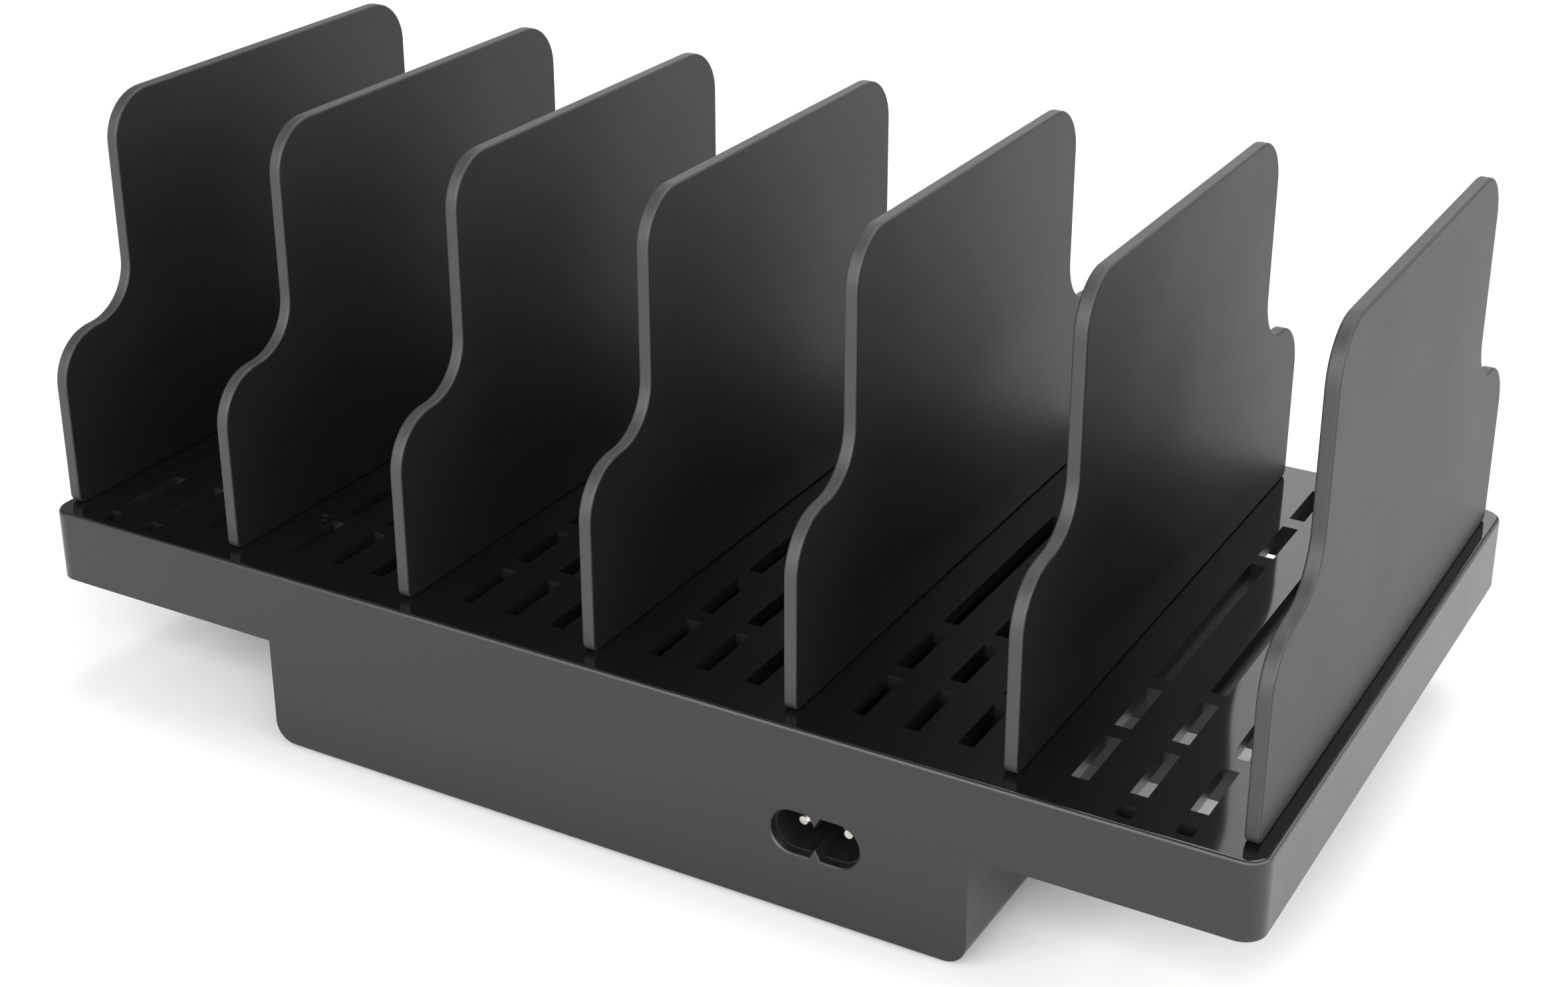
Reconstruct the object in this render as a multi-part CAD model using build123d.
from build123d import *
import os

# Charging station organizer: a slotted tray with plug-in dividers over a mains power case.
# Lengths are in millimetres. X runs along the row of dividers, +Y runs from the mains inlet
# side to the charging port side, Z is up, and the feet stand on z = 0.

# Dividers
divider_count = 7
bay_pitch = 40.0
divider_thickness = 2.5
divider_height = 77.0
divider_setback = 4.5
bulge_radius = 10.0
shoulder_height = 34.4
divider_top_radius = 9.5
divider_foot_radius = 1.7
divider_edge_radius = 0.5
tab_thickness = 1.9
tab_depth = 6.0
middle_tab_length = 30.0
end_tab_length = 14.0
tab_corner_cut = 1.0
tab_clearance = 0.1

# Tray
left_margin = 2.5
right_margin = 3.9
tray_depth = 138.0
skirt_height = 14.4
wall = 2.0
deck_thickness = 2.4
tray_corner_radius = 4.1
tray_edge_radius = 0.8

# Deck vents, ribs and marks
vent_columns = 3
vent_width = 3.0
short_vent_length = 14.0
vent_bridge = 3.8
vent_setback = 9.3
vent_web = 1.2
rib_thickness = 2.0
rib_depth = 4.6
pocket_count = 2
pocket_width = 3.0
pocket_length = 3.4
pocket_depth = 3.6
pocket_setback = 4.0
pocket_skin = 1.2
gate_mark_radius = 1.5
gate_mark_depth = 0.3
gate_mark_setback = 23.3
gate_mark_from_divider = 6.3

# Power case
case_length = 144.5
case_shift = 2.55
case_corner_radius = 4.0
cover_ledge = 1.0
cover_clearance = 0.2
part_headroom = 20.0
standoff_height = 3.5
board_thickness = 1.6
board_clearance = 0.5
lid_thickness = 1.5
lid_clearance = 0.3

# Feet
foot_radius = 6.0
foot_proud = 1.0
foot_recess = 0.8
foot_edge_radius = 0.4
foot_inset = 16.0
foot_clearance = 0.2

# Screws and what they hold
cup_radius = 3.8
cup_height = 2.2
cup_floor = 1.8
post_radius = 3.2
case_screw_radius = 1.25
case_screw_length = 11.0
case_head_radius = 2.5
case_head_height = 1.7
small_screw_radius = 1.0
small_screw_length = 5.0
small_head_radius = 2.1
small_head_height = 1.4
board_hole_inset = 3.2
standoff_radius = 3.0
lid_boss_radius = 3.0
drive_width = 0.6
drive_depth = 0.8
thread_clearance = 0.03
hole_clearance = 0.2

# Mains inlet, two-pin figure-8
inlet_from_end = 28.3
inlet_rise = 8.3
inlet_mouth_length = 16.8
inlet_mouth_height = 8.2
inlet_tooth_width = 2.2
inlet_tooth_depth = 2.0
inlet_lip = 0.3
inlet_body_length = 19.8
inlet_body_depth = 15.5
inlet_body_above = 6.6
inlet_cavity_depth = 11.2
inlet_cavity_shrink = 0.2
inlet_pin_radius = 1.18
inlet_pin_spacing = 8.6
inlet_pin_recess = 4.2
inlet_tail_width = 1.4
inlet_tail_gap = 0.4

# Charging ports
port_count = 6
port_margin = 3.5
port_width = 13.1
port_height = 5.7
port_depth = 14.0
port_skin = 0.3
port_recess = 0.4
port_clearance = 0.25
tongue_width = 11.1
tongue_thickness = 1.84
tongue_length = 10.0
tongue_root = 1.6
tongue_rise = 0.9
contact_count = 4
contact_pitch = 2.3
contact_width = 1.0
contact_length = 7.5
contact_thickness = 0.2

# Boards and the parts on them
power_board_depth = 77.0
part_gap = 1.5
board_gap = 6.0
pin_clearance = 0.05
tail_length = 1.0
tall_part_clearance = 2.0
fuse_radius = 4.2
fuse_height = 8.0
varistor_radius = 5.0
varistor_thickness = 4.2
x_capacitor_size = (18.0, 8.5, 15.0)
choke_radius = 7.5
choke_bore = 4.0
choke_thickness = 7.0
choke_wire = 1.0
choke_winding_angle = 130.0
bridge_size = (15.0, 3.6, 11.0)
bulk_radius = 8.0
groove_depth = 0.4
groove_rise = 2.0
heat_sink_length = 28.0
heat_sink_thickness = 2.0
heat_sink_height = 16.0
heat_sink_foot = 7.0
package_size = (10.0, 4.4, 15.0)
core_length = 26.0
core_depth = 12.0
core_leg = 4.0
core_center = 7.0
bobbin_depth = 22.0
bobbin_skin = 1.0
bobbin_clearance = 0.2
winding_clearance = 0.6
output_capacitor_radius = 5.0
output_capacitor_height = 16.0
optocoupler_size = (4.6, 6.5, 3.5)
y_capacitor_radius = 4.0
y_capacitor_thickness = 3.0
controller_size = (5.0, 4.0, 1.6)
link_length = 22.0
link_height = 6.0
link_overlap = 4.0
link_pin_count = 6
link_pin_width = 0.64
link_pin_pitch = 2.54
link_pin_reach = 3.0

# Lid vents, over the low-voltage half
lid_vent_width = 2.5
lid_vent_length = 14.0
lid_vent_bays = 3

# Overrun of a cut past the face it opens
overrun = 1.0


# Centers of a row of parts that fills the room from low to high with equal gaps
def spread(sizes, low, high):
    gap = (high - low - sum(sizes)) / (len(sizes) - 1)
    starts = [low + sum(sizes[:i]) + gap * i for i in range(len(sizes))]
    return [start + size / 2 for start, size in zip(starts, sizes)]


# Levels and places that follow from the sizes above
case_bottom = foot_proud
cover_top = case_bottom + wall
post_bottom = cover_top + cup_height
board_bottom = cover_top + standoff_height
board_top = board_bottom + board_thickness
lid_bottom = board_top + part_headroom
lid_top = lid_bottom + lid_thickness
deck_underside = lid_top + rib_depth
deck_top = deck_underside + deck_thickness
skirt_bottom = deck_top - skirt_height
tall_part_height = part_headroom - tall_part_clearance

row_length = (divider_count - 1) * bay_pitch
tray_length = left_margin + row_length + right_margin
divider_xs = [left_margin - tray_length / 2 + bay_pitch * i for i in range(divider_count)]

near_face = -tray_depth / 2
far_face = tray_depth / 2
inner_near = near_face + wall
inner_far = far_face - wall
case_left = case_shift - case_length / 2
case_right = case_shift + case_length / 2
opening_left = case_left + case_corner_radius + cover_ledge
opening_right = case_right - case_corner_radius - cover_ledge

long_vent_length = tray_depth - 2 * vent_setback - 4 * (short_vent_length + vent_bridge)
inner_rib_y = (long_vent_length + vent_bridge) / 2
outer_rib_y = inner_rib_y + short_vent_length + vent_bridge
end_tab_y = (outer_rib_y + rib_thickness / 2 + inner_far) / 2
tabs = ((0, middle_tab_length), (-end_tab_y, end_tab_length), (end_tab_y, end_tab_length))

cup_inset = cover_clearance + cup_radius
post_left = opening_left + cup_inset
post_right = opening_right - cup_inset
posts = [
    (x, y)
    for x in (post_left, post_right)
    for y in (inner_near + cup_inset, inner_far - cup_inset)
]
feet = [
    (x, y)
    for x in (case_left + foot_inset, case_right - foot_inset)
    for y in (near_face + foot_inset, far_face - foot_inset)
]

board_left = post_left + post_radius + board_clearance
board_right = post_right - post_radius - board_clearance
power_board_near = inner_near + board_clearance
power_board_far = power_board_near + power_board_depth
port_board_near = power_board_far + board_gap
port_board_far = inner_far - board_clearance
hole_xs = (board_left + board_hole_inset, board_right - board_hole_inset)

inlet_x = case_right - inlet_from_end
inlet_z = board_top + inlet_rise
inlet_back = inner_near + inlet_body_depth
pin_xs = (inlet_x - inlet_pin_spacing / 2, inlet_x + inlet_pin_spacing / 2)

port_z = board_top + port_height / 2
port_face = far_face - port_recess
port_back = port_face - port_depth
port_room = post_radius + port_margin
port_xs = spread([port_width] * port_count, post_left + port_room, post_right - port_room)
tongue_z = port_z + tongue_rise

power_board_holes = [
    (x, y)
    for x in hole_xs
    for y in (power_board_near + board_hole_inset, power_board_far - board_hole_inset)
]
port_board_holes = [
    (x, y)
    for x in hole_xs
    for y in (port_board_near + board_hole_inset, port_back - board_hole_inset)
]

# Three columns of parts on the power board
rows_near = power_board_near + part_gap
rows_far = power_board_far - 2 * board_hole_inset
sink_depth = package_size[1] + heat_sink_foot
choke_outer = 2 * (choke_radius + choke_wire)

left_width = 4 * bulk_radius + part_gap
left_near_x = board_left + part_gap
left_far_x = left_near_x + left_width
left_x = (left_near_x + left_far_x) / 2
left_rows = (bridge_size[1], 2 * bulk_radius, sink_depth, 2 * output_capacitor_radius)
bridge_y, bulk_y, secondary_sink_y, output_y = spread(left_rows, rows_near, rows_far)
bulk_xs = spread([2 * bulk_radius] * 2, left_near_x, left_far_x)
output_xs = spread([2 * output_capacitor_radius] * 3, left_near_x, left_far_x)

middle_x = (left_far_x + inlet_x - inlet_body_length / 2) / 2
middle_rows = (choke_outer, sink_depth, bobbin_depth)
choke_y, primary_sink_y, transformer_y = spread(middle_rows, rows_near, rows_far)

tails_far = inlet_back + inlet_tail_gap + inlet_tail_width
right_rows = (2 * fuse_radius, x_capacitor_size[1], varistor_thickness, optocoupler_size[1])
fuse_y, x_capacitor_y, varistor_y, small_parts_y = spread(
    right_rows, tails_far + part_gap, rows_far
)
small_parts_half = x_capacitor_size[0] / 2
optocoupler_x, y_capacitor_x = spread(
    [optocoupler_size[0], 2 * y_capacitor_radius],
    inlet_x - small_parts_half, inlet_x + small_parts_half,
)

link_pin_ys = (power_board_far - link_overlap / 2, port_board_near + link_overlap / 2)
link_pins_at = [
    (left_x + link_pin_pitch * (i - (link_pin_count - 1) / 2), y)
    for i in range(link_pin_count)
    for y in link_pin_ys
]


# Shapes used throughout
def block(x0, x1, y0, y1, z0, z1):
    center = Pos((x0 + x1) / 2, (y0 + y1) / 2, (z0 + z1) / 2)
    return center * Box(x1 - x0, y1 - y0, z1 - z0)


def standing(place, size, base):
    x, y = place
    return Pos(x, y, base + size[2] / 2) * Box(*size)


def column(place, radius, z0, z1):
    x, y = place
    return Pos(x, y, (z0 + z1) / 2) * Cylinder(radius, z1 - z0)


def along_y(sketch, x, z, y0, y1):
    plane = Plane(origin=(x, y1, z), x_dir=(1, 0, 0), z_dir=(0, -1, 0))
    return extrude(plane * sketch, y1 - y0)


def screw(radius, length, head_radius, head_height):
    body = Pos(0, 0, -head_height / 2) * Cylinder(head_radius, head_height)
    body += Pos(0, 0, length / 2) * Cylinder(radius, length)
    slot = Box(2 * radius, drive_width, 2 * drive_depth)
    for turn in (0, 90):
        body -= Pos(0, 0, -head_height) * Rot(0, 0, turn) * slot
    return body


# Tray housing
def tray_shell():
    outer = fillet(Rectangle(tray_length, tray_depth).vertices(), tray_corner_radius)
    shell = Pos(0, 0, skirt_bottom) * extrude(outer, skirt_height)
    shell = fillet(shell.faces().sort_by(Axis.Z)[-1].edges(), tray_edge_radius)
    inner = Rectangle(tray_length - 2 * wall, tray_depth - 2 * wall)
    inner = fillet(inner.vertices(), tray_corner_radius - wall)
    return shell - Pos(0, 0, skirt_bottom) * extrude(inner, skirt_height - deck_thickness)


def case_block(inset):
    low = case_bottom + inset
    height = deck_underside - low
    profile = Pos(case_shift, low + height / 2) * Rectangle(case_length - 2 * inset, height)
    profile = fillet(profile.vertices().group_by(Axis.Y)[0], case_corner_radius - inset)
    return extrude(Plane.XZ * profile, tray_depth / 2 - inset, both=True)


def vent_xs():
    step = bay_pitch / (vent_columns + 1)
    return [left + step * (k + 1) for left in divider_xs[:-1] for k in range(vent_columns)]


def vents():
    step = short_vent_length + vent_bridge
    first = (long_vent_length + short_vent_length) / 2 + vent_bridge
    rows = [(0, long_vent_length)]
    rows += [(side * y, short_vent_length) for side in (-1, 1) for y in (first, first + step)]
    height = 2 * (deck_thickness + overrun)
    return [
        Pos(x, y, deck_top) * Box(vent_width, length, height)
        for x in vent_xs()
        for y, length in rows
    ]


def tab_slots():
    gap = 2 * tab_clearance
    depth = 2 * (tab_depth + tab_clearance)
    return [
        Pos(x, y, deck_top) * Box(tab_thickness + gap, length + gap, depth)
        for x in divider_xs
        for y, length in tabs
    ]


def ribs():
    half = tray_length / 2 - wall
    skin = rib_thickness / 2
    return [
        block(-half, half, y - skin, y + skin, lid_top, deck_underside)
        for row in (inner_rib_y, outer_rib_y)
        for y in (-row, row)
    ]


def wing_webs():
    # The long vents outside the case are blind grooves, closed from below
    edge = vent_width / 2 + vent_web
    low = deck_underside - vent_web
    return [
        block(x - edge, x + edge, -inner_rib_y, inner_rib_y, low, deck_underside)
        for x in vent_xs()
        if not case_left < x < case_right
    ]


def pocket_centers():
    steps = [bay_pitch * (k + 1) / (vent_columns + 1) for k in range(pocket_count)]
    xs = [divider_xs[0] + step for step in steps] + [divider_xs[-1] - step for step in steps]
    return [(x, side * (far_face - pocket_setback)) for x in xs for side in (-1, 1)]


def pocket_pads():
    size = (
        pocket_width + 2 * pocket_skin,
        pocket_length + 2 * pocket_skin,
        pocket_depth + pocket_skin - deck_thickness,
    )
    return [standing(place, size, deck_underside - size[2]) for place in pocket_centers()]


def pockets():
    size = (pocket_width, pocket_length, pocket_depth + overrun)
    return [standing(place, size, deck_top - pocket_depth) for place in pocket_centers()]


def gate_mark():
    place = (divider_xs[1] + gate_mark_from_divider, near_face + gate_mark_setback)
    low = deck_top - gate_mark_depth
    ring = column(place, gate_mark_radius, low, deck_top + overrun)
    return ring - column(place, gate_mark_radius / 2, low, deck_top)


def figure_eight(shrink, tooth_depth):
    half_height = inlet_mouth_height / 2 - shrink
    half_tooth = inlet_tooth_width / 2
    outline = SlotOverall(inlet_mouth_length - 2 * shrink, 2 * half_height)
    tip = half_height - tooth_depth
    for side in (-1, 1):
        tooth = Polyline(
            (-half_tooth, side * (half_height + overrun)),
            (-half_tooth, side * half_height),
            (0, side * tip),
            (half_tooth, side * half_height),
            (half_tooth, side * (half_height + overrun)),
            close=True,
        )
        outline -= make_face(tooth)
    return outline


def lid_bosses():
    middle = (divider_count - 1) // 2
    y = long_vent_length * 3 / 8
    xs = (divider_xs[middle - 1] + bay_pitch * 3 / 8, divider_xs[middle] + bay_pitch * 5 / 8)
    return [(x, side * y) for x in xs for side in (-1, 1)]


def mouth_lip():
    # The broken outer edge of the inlet mouth
    outlines = [
        Plane(origin=(inlet_x, near_face + back, inlet_z), x_dir=(1, 0, 0), z_dir=(0, -1, 0))
        * figure_eight(back - inlet_lip, inlet_tooth_depth)
        for back in (0, inlet_lip)
    ]
    return loft([outline.faces()[0] for outline in outlines], ruled=True)


def wall_openings():
    opening = Rectangle(port_width + 2 * port_clearance, port_height + 2 * port_clearance)
    cuts = [along_y(opening, x, port_z, inner_far - overrun, far_face + overrun) for x in port_xs]
    mouth = figure_eight(0, inlet_tooth_depth)
    cuts += [along_y(mouth, inlet_x, inlet_z, near_face - overrun, inner_near + overrun)]
    return cuts + [mouth_lip()]


def screw_bores():
    case_bore = case_screw_radius + thread_clearance
    case_top = post_bottom + case_screw_length - cup_floor + overrun
    small_bore = small_screw_radius + thread_clearance
    small_top = lid_bottom + small_screw_length + thread_clearance
    bores = [column(place, case_bore, post_bottom - overrun, case_top) for place in posts]
    return bores + [column(at, small_bore, lid_top - overrun, small_top) for at in lid_bosses()]


def tray_housing():
    housing = tray_shell() + case_block(0)
    housing -= case_block(wall)
    housing -= block(
        opening_left, opening_right, inner_near, inner_far,
        case_bottom - overrun, cover_top + overrun,
    )
    housing += ribs() + pocket_pads()
    housing += [column(place, post_radius, post_bottom, deck_underside) for place in posts]
    housing += [column(place, lid_boss_radius, lid_top, deck_underside) for place in lid_bosses()]
    housing -= vents() + tab_slots() + pockets() + wall_openings() + screw_bores()
    return housing + wing_webs() - gate_mark()


# Dividers
def divider_outline():
    edge = tray_depth / 2 - divider_setback
    waist = edge - bulge_radius
    neck = waist - bulge_radius
    low = shoulder_height - bulge_radius
    high = shoulder_height + bulge_radius
    foot = divider_foot_radius
    top = divider_top_radius
    half = make_face([
        Line((0, 0), (edge - foot, 0)),
        CenterArc((edge - foot, foot), foot, -90, 90),
        Line((edge, foot), (edge, low)),
        CenterArc((waist, low), bulge_radius, 0, 90),
        CenterArc((waist, high), bulge_radius, 180, 90),
        Line((neck, high), (neck, divider_height - top)),
        CenterArc((neck - top, divider_height - top), top, 0, 90),
        Line((neck - top, divider_height), (0, divider_height)),
        Line((0, divider_height), (0, 0)),
    ])
    return half + mirror(half, Plane.YZ)


def divider():
    plate = extrude(Plane.YZ * divider_outline(), divider_thickness / 2, both=True)
    sides = plate.faces().filter_by(Axis.X)
    soft = [edge for side in sides for edge in side.edges().sort_by(Axis.Z)[1:]]
    plate = fillet(soft, divider_edge_radius)
    for y, length in tabs:
        tab = Pos(y, -tab_depth / 2) * Rectangle(length, tab_depth)
        tab = chamfer(tab.vertices().group_by(Axis.Y)[0], tab_corner_cut)
        plate += extrude(Plane.YZ * tab, tab_thickness / 2, both=True)
    return plate


# Base cover, inner lid and feet
def base_cover():
    cover = block(
        opening_left + cover_clearance, opening_right - cover_clearance,
        inner_near + cover_clearance, inner_far - cover_clearance, case_bottom, cover_top,
    )
    standoffs = power_board_holes + port_board_holes
    cover += [column(place, cup_radius, cover_top, post_bottom) for place in posts]
    cover += [column(place, standoff_radius, cover_top, board_bottom) for place in standoffs]
    hole = case_screw_radius + hole_clearance
    counterbore = case_head_radius + hole_clearance
    small_bore = small_screw_radius + thread_clearance
    recess = foot_radius + foot_clearance
    cuts = [column(at, hole, case_bottom, post_bottom) for at in posts]
    cuts += [column(at, counterbore, case_bottom, post_bottom - cup_floor) for at in posts]
    cuts += [column(at, small_bore, cover_top, board_bottom) for at in standoffs]
    cuts += [column(at, recess, case_bottom, case_bottom + foot_recess) for at in feet]
    return cover - cuts


def lid_vents():
    middle = (divider_count - 1) // 2
    start = divider_xs[middle - 1] + bay_pitch / (2 * (vent_columns + 1))
    step = bay_pitch / (vent_columns + 1)
    size = (lid_vent_width, lid_vent_length, lid_thickness)
    rows = ((inner_rib_y + outer_rib_y) / 2, (outer_rib_y + inner_far) / 2)
    return [
        standing((start + step * i, y), size, lid_bottom)
        for i in range(lid_vent_bays * vent_columns)
        for y in rows
    ]


def inner_lid():
    lid = block(
        case_left + wall + lid_clearance, case_right - wall - lid_clearance,
        inner_near + lid_clearance, inner_far - lid_clearance, lid_bottom, lid_top,
    )
    cuts = [column(place, post_radius + lid_clearance, lid_bottom, lid_top) for place in posts]
    hole = small_screw_radius + hole_clearance
    cuts += [column(place, hole, lid_bottom, lid_top) for place in lid_bosses()]
    return lid - (cuts + lid_vents())


def foot(place):
    pad = column(place, foot_radius, 0, foot_proud + foot_recess)
    return fillet(pad.edges().sort_by(Axis.Z)[0], foot_edge_radius)


def case_screws():
    body = screw(case_screw_radius, case_screw_length, case_head_radius, case_head_height)
    return [Pos(x, y, post_bottom - cup_floor) * body for x, y in posts]


def lid_screws():
    body = screw(small_screw_radius, small_screw_length, small_head_radius, small_head_height)
    return [Pos(x, y, lid_bottom) * body for x, y in lid_bosses()]


def board_screws():
    body = screw(small_screw_radius, small_screw_length, small_head_radius, small_head_height)
    body = Rot(180, 0, 0) * body
    return [Pos(x, y, board_top) * body for x, y in power_board_holes + port_board_holes]


# Mains inlet
def inlet_body():
    half = inlet_body_length / 2
    body = block(
        inlet_x - half, inlet_x + half, inner_near, inlet_back,
        board_top, inlet_z + inlet_body_above,
    )
    cavity = figure_eight(inlet_cavity_shrink, inlet_tooth_depth - inlet_cavity_shrink)
    body -= along_y(cavity, inlet_x, inlet_z, inner_near, inner_near + inlet_cavity_depth)
    bore = Circle(inlet_pin_radius + thread_clearance)
    return body - [along_y(bore, x, inlet_z, inner_near, inlet_back) for x in pin_xs]


def tail_blocks(width, z0, z1):
    y = inlet_back + inlet_tail_gap + inlet_tail_width / 2
    return [standing((x, y), (width, width, z1 - z0), z0) for x in pin_xs]


def inlet_pins():
    tip = near_face + inlet_pin_recess
    end = inlet_back + inlet_tail_gap + inlet_tail_width
    tails = tail_blocks(inlet_tail_width, board_bottom - tail_length, inlet_z)
    pins = []
    for x, tail in zip(pin_xs, tails):
        pin = along_y(Circle(inlet_pin_radius), x, inlet_z, tip, end)
        pin = chamfer(pin.edges().sort_by(Axis.Y)[0], inlet_pin_radius / 3)
        pins.append(pin + tail)
    return pins


# Boards
def pin_holes(z0, z1):
    width = link_pin_width + 2 * pin_clearance
    return [standing(place, (width, width, z1 - z0), z0) for place in link_pins_at]


def board(near, far, holes):
    plate = block(board_left, board_right, near, far, board_bottom, board_top)
    hole = small_screw_radius + hole_clearance
    cuts = [column(place, hole, board_bottom, board_top) for place in holes]
    return plate - (cuts + pin_holes(board_bottom, board_top))


def power_board():
    plate = board(power_board_near, power_board_far, power_board_holes)
    return plate - tail_blocks(inlet_tail_width + 2 * pin_clearance, board_bottom, board_top)


def board_link():
    half = link_length / 2
    body = block(
        left_x - half, left_x + half, power_board_far - link_overlap,
        port_board_near + link_overlap, board_top, board_top + link_height,
    )
    return body - pin_holes(board_top, board_top + link_pin_reach + pin_clearance)


def link_pins():
    low = board_bottom - tail_length
    size = (link_pin_width, link_pin_width, board_top + link_pin_reach - low)
    return [standing(place, size, low) for place in link_pins_at]


# Charging ports
def port_shell(x):
    outer = fillet(Rectangle(port_width, port_height).vertices(), port_skin)
    inner = Rectangle(port_width - 2 * port_skin, port_height - 2 * port_skin)
    return along_y(outer - inner, x, port_z, port_back, port_face)


def port_tongue(x):
    root = Rectangle(port_width - 2 * port_skin, port_height - 2 * port_skin)
    blade = Rectangle(tongue_width, tongue_thickness)
    front = port_back + tongue_root
    body = along_y(root, x, port_z, port_back, front)
    return body + along_y(blade, x, tongue_z, front, front + tongue_length)


def port_contacts():
    strip = Rectangle(contact_width, contact_thickness)
    z = tongue_z - (tongue_thickness + contact_thickness) / 2
    front = port_back + tongue_root
    shifts = [contact_pitch * (i - (contact_count - 1) / 2) for i in range(contact_count)]
    return [
        along_y(strip, x + shift, z, front, front + contact_length)
        for x in port_xs
        for shift in shifts
    ]


def charge_controllers():
    y = (port_board_near + link_overlap + port_back) / 2
    pairs = zip(port_xs[::2], port_xs[1::2])
    return [standing(((a + b) / 2, y), controller_size, board_top) for a, b in pairs]


# Power supply parts
def can(place, radius, height):
    low = board_top + groove_rise
    ring = column(place, radius + overrun, low, low + groove_depth)
    ring -= column(place, radius - groove_depth, low, low + groove_depth)
    return column(place, radius, board_top, board_top + height) - ring


def disc(place, radius, thickness):
    x, y = place
    return along_y(Circle(radius), x, board_top + radius, y - thickness / 2, y + thickness / 2)


def choke():
    band = choke_radius - choke_bore
    to_band = Pos((choke_radius + choke_bore) / 2, 0)
    bare = Rectangle(band, choke_thickness)
    jacket = Rectangle(band + 2 * choke_wire, choke_thickness + 2 * choke_wire) - bare
    center = Pos(middle_x, choke_y, board_top + choke_wire + choke_thickness / 2)
    core = center * revolve(Plane.XZ * to_band * bare, Axis.Z)
    coil = revolve(Plane.XZ * to_band * jacket, Axis.Z, choke_winding_angle)
    return core, [center * Rot(0, 0, turn) * coil for turn in (0, 180)]


def heat_sink(place):
    x, y = place
    y += package_size[1] - sink_depth / 2
    half = heat_sink_length / 2
    face = y + heat_sink_thickness
    low = board_top + heat_sink_thickness
    plate = block(x - half, x + half, y, face, board_top, board_top + heat_sink_height)
    return plate + block(x - half, x + half, y, y + heat_sink_foot, board_top, low)


def package(place):
    x, y = place
    return standing((x, y + (package_size[1] - sink_depth) / 2), package_size, board_top)


def transformer():
    place = (middle_x, transformer_y)
    window = (core_length - core_center) / 2 - core_leg
    window_low = board_top + core_leg
    window_height = tall_part_height - 2 * core_leg
    core = standing(place, (core_length, core_depth, tall_part_height), board_top)
    for side in (-1, 1):
        center = (middle_x + side * (core_center + window) / 2, transformer_y)
        core -= standing(center, (window, core_depth, window_height), window_low)

    low = window_low + bobbin_clearance
    height = window_height - 2 * bobbin_clearance
    coil_height = height - 2 * bobbin_skin
    bore_x = core_center + 2 * bobbin_clearance
    bore_y = core_depth + 2 * bobbin_clearance
    tube_x = bore_x + 2 * bobbin_skin
    tube_y = bore_y + 2 * bobbin_skin
    flange_x = core_center + 2 * (window - bobbin_clearance)
    coil_x = flange_x - 2 * winding_clearance
    coil_y = bobbin_depth - 2 * winding_clearance
    tube = standing(place, (tube_x, tube_y, height), low)
    bore = standing(place, (bore_x, bore_y, height), low)
    bobbin = standing(place, (flange_x, bobbin_depth, height), low)
    bobbin -= standing(place, (flange_x, bobbin_depth, coil_height), low + bobbin_skin)
    winding = standing(place, (coil_x, coil_y, coil_height), low + bobbin_skin)
    return core, bobbin + tube - bore, winding - tube


def power_parts():
    choke_core, choke_windings = choke()
    core, bobbin, winding = transformer()
    primary = (middle_x, primary_sink_y)
    secondary = (left_x, secondary_sink_y)
    return {
        "mains_fuse": column((inlet_x, fuse_y), fuse_radius, board_top, board_top + fuse_height),
        "varistor": disc((inlet_x, varistor_y), varistor_radius, varistor_thickness),
        "x_capacitor": standing((inlet_x, x_capacitor_y), x_capacitor_size, board_top),
        "choke_core": choke_core,
        "choke_windings": choke_windings,
        "bridge_rectifier": standing((left_x, bridge_y), bridge_size, board_top),
        "bulk_capacitors": [can((x, bulk_y), bulk_radius, tall_part_height) for x in bulk_xs],
        "primary_heat_sink": heat_sink(primary),
        "switching_transistor": package(primary),
        "transformer_core": core,
        "transformer_bobbin": bobbin,
        "transformer_winding": winding,
        "y_capacitor": disc(
            (y_capacitor_x, small_parts_y), y_capacitor_radius, y_capacitor_thickness
        ),
        "optocoupler": standing((optocoupler_x, small_parts_y), optocoupler_size, board_top),
        "secondary_heat_sink": heat_sink(secondary),
        "rectifier_diode": package(secondary),
        "output_capacitors": [
            can((x, output_y), output_capacitor_radius, output_capacitor_height)
            for x in output_xs
        ],
    }


pieces = {
    "tray_housing": tray_housing(),
    "base_cover": base_cover(),
    "inner_lid": inner_lid(),
    "inlet_body": inlet_body(),
    "inlet_pins": inlet_pins(),
    "power_board": power_board(),
    "port_board": board(port_board_near, port_board_far, port_board_holes),
    "board_link": board_link(),
    "link_pins": link_pins(),
    "port_contacts": port_contacts(),
    "charge_controllers": charge_controllers(),
    "case_screws": case_screws(),
    "lid_screws": lid_screws(),
    "board_screws": board_screws(),
}
pieces.update(power_parts())
for number, x in enumerate(divider_xs, 1):
    pieces[f"divider_{number}"] = Pos(x, 0, deck_top) * divider()
for number, x in enumerate(port_xs, 1):
    pieces[f"port_shell_{number}"] = port_shell(x)
    pieces[f"port_tongue_{number}"] = port_tongue(x)
for number, place in enumerate(feet, 1):
    pieces[f"foot_{number}"] = foot(place)

os.makedirs("parts", exist_ok=True)
for name, shape in pieces.items():
    solids = shape if isinstance(shape, list) else shape.solids()
    export_step(Compound(children=list(solids)), f"parts/{name}.step")
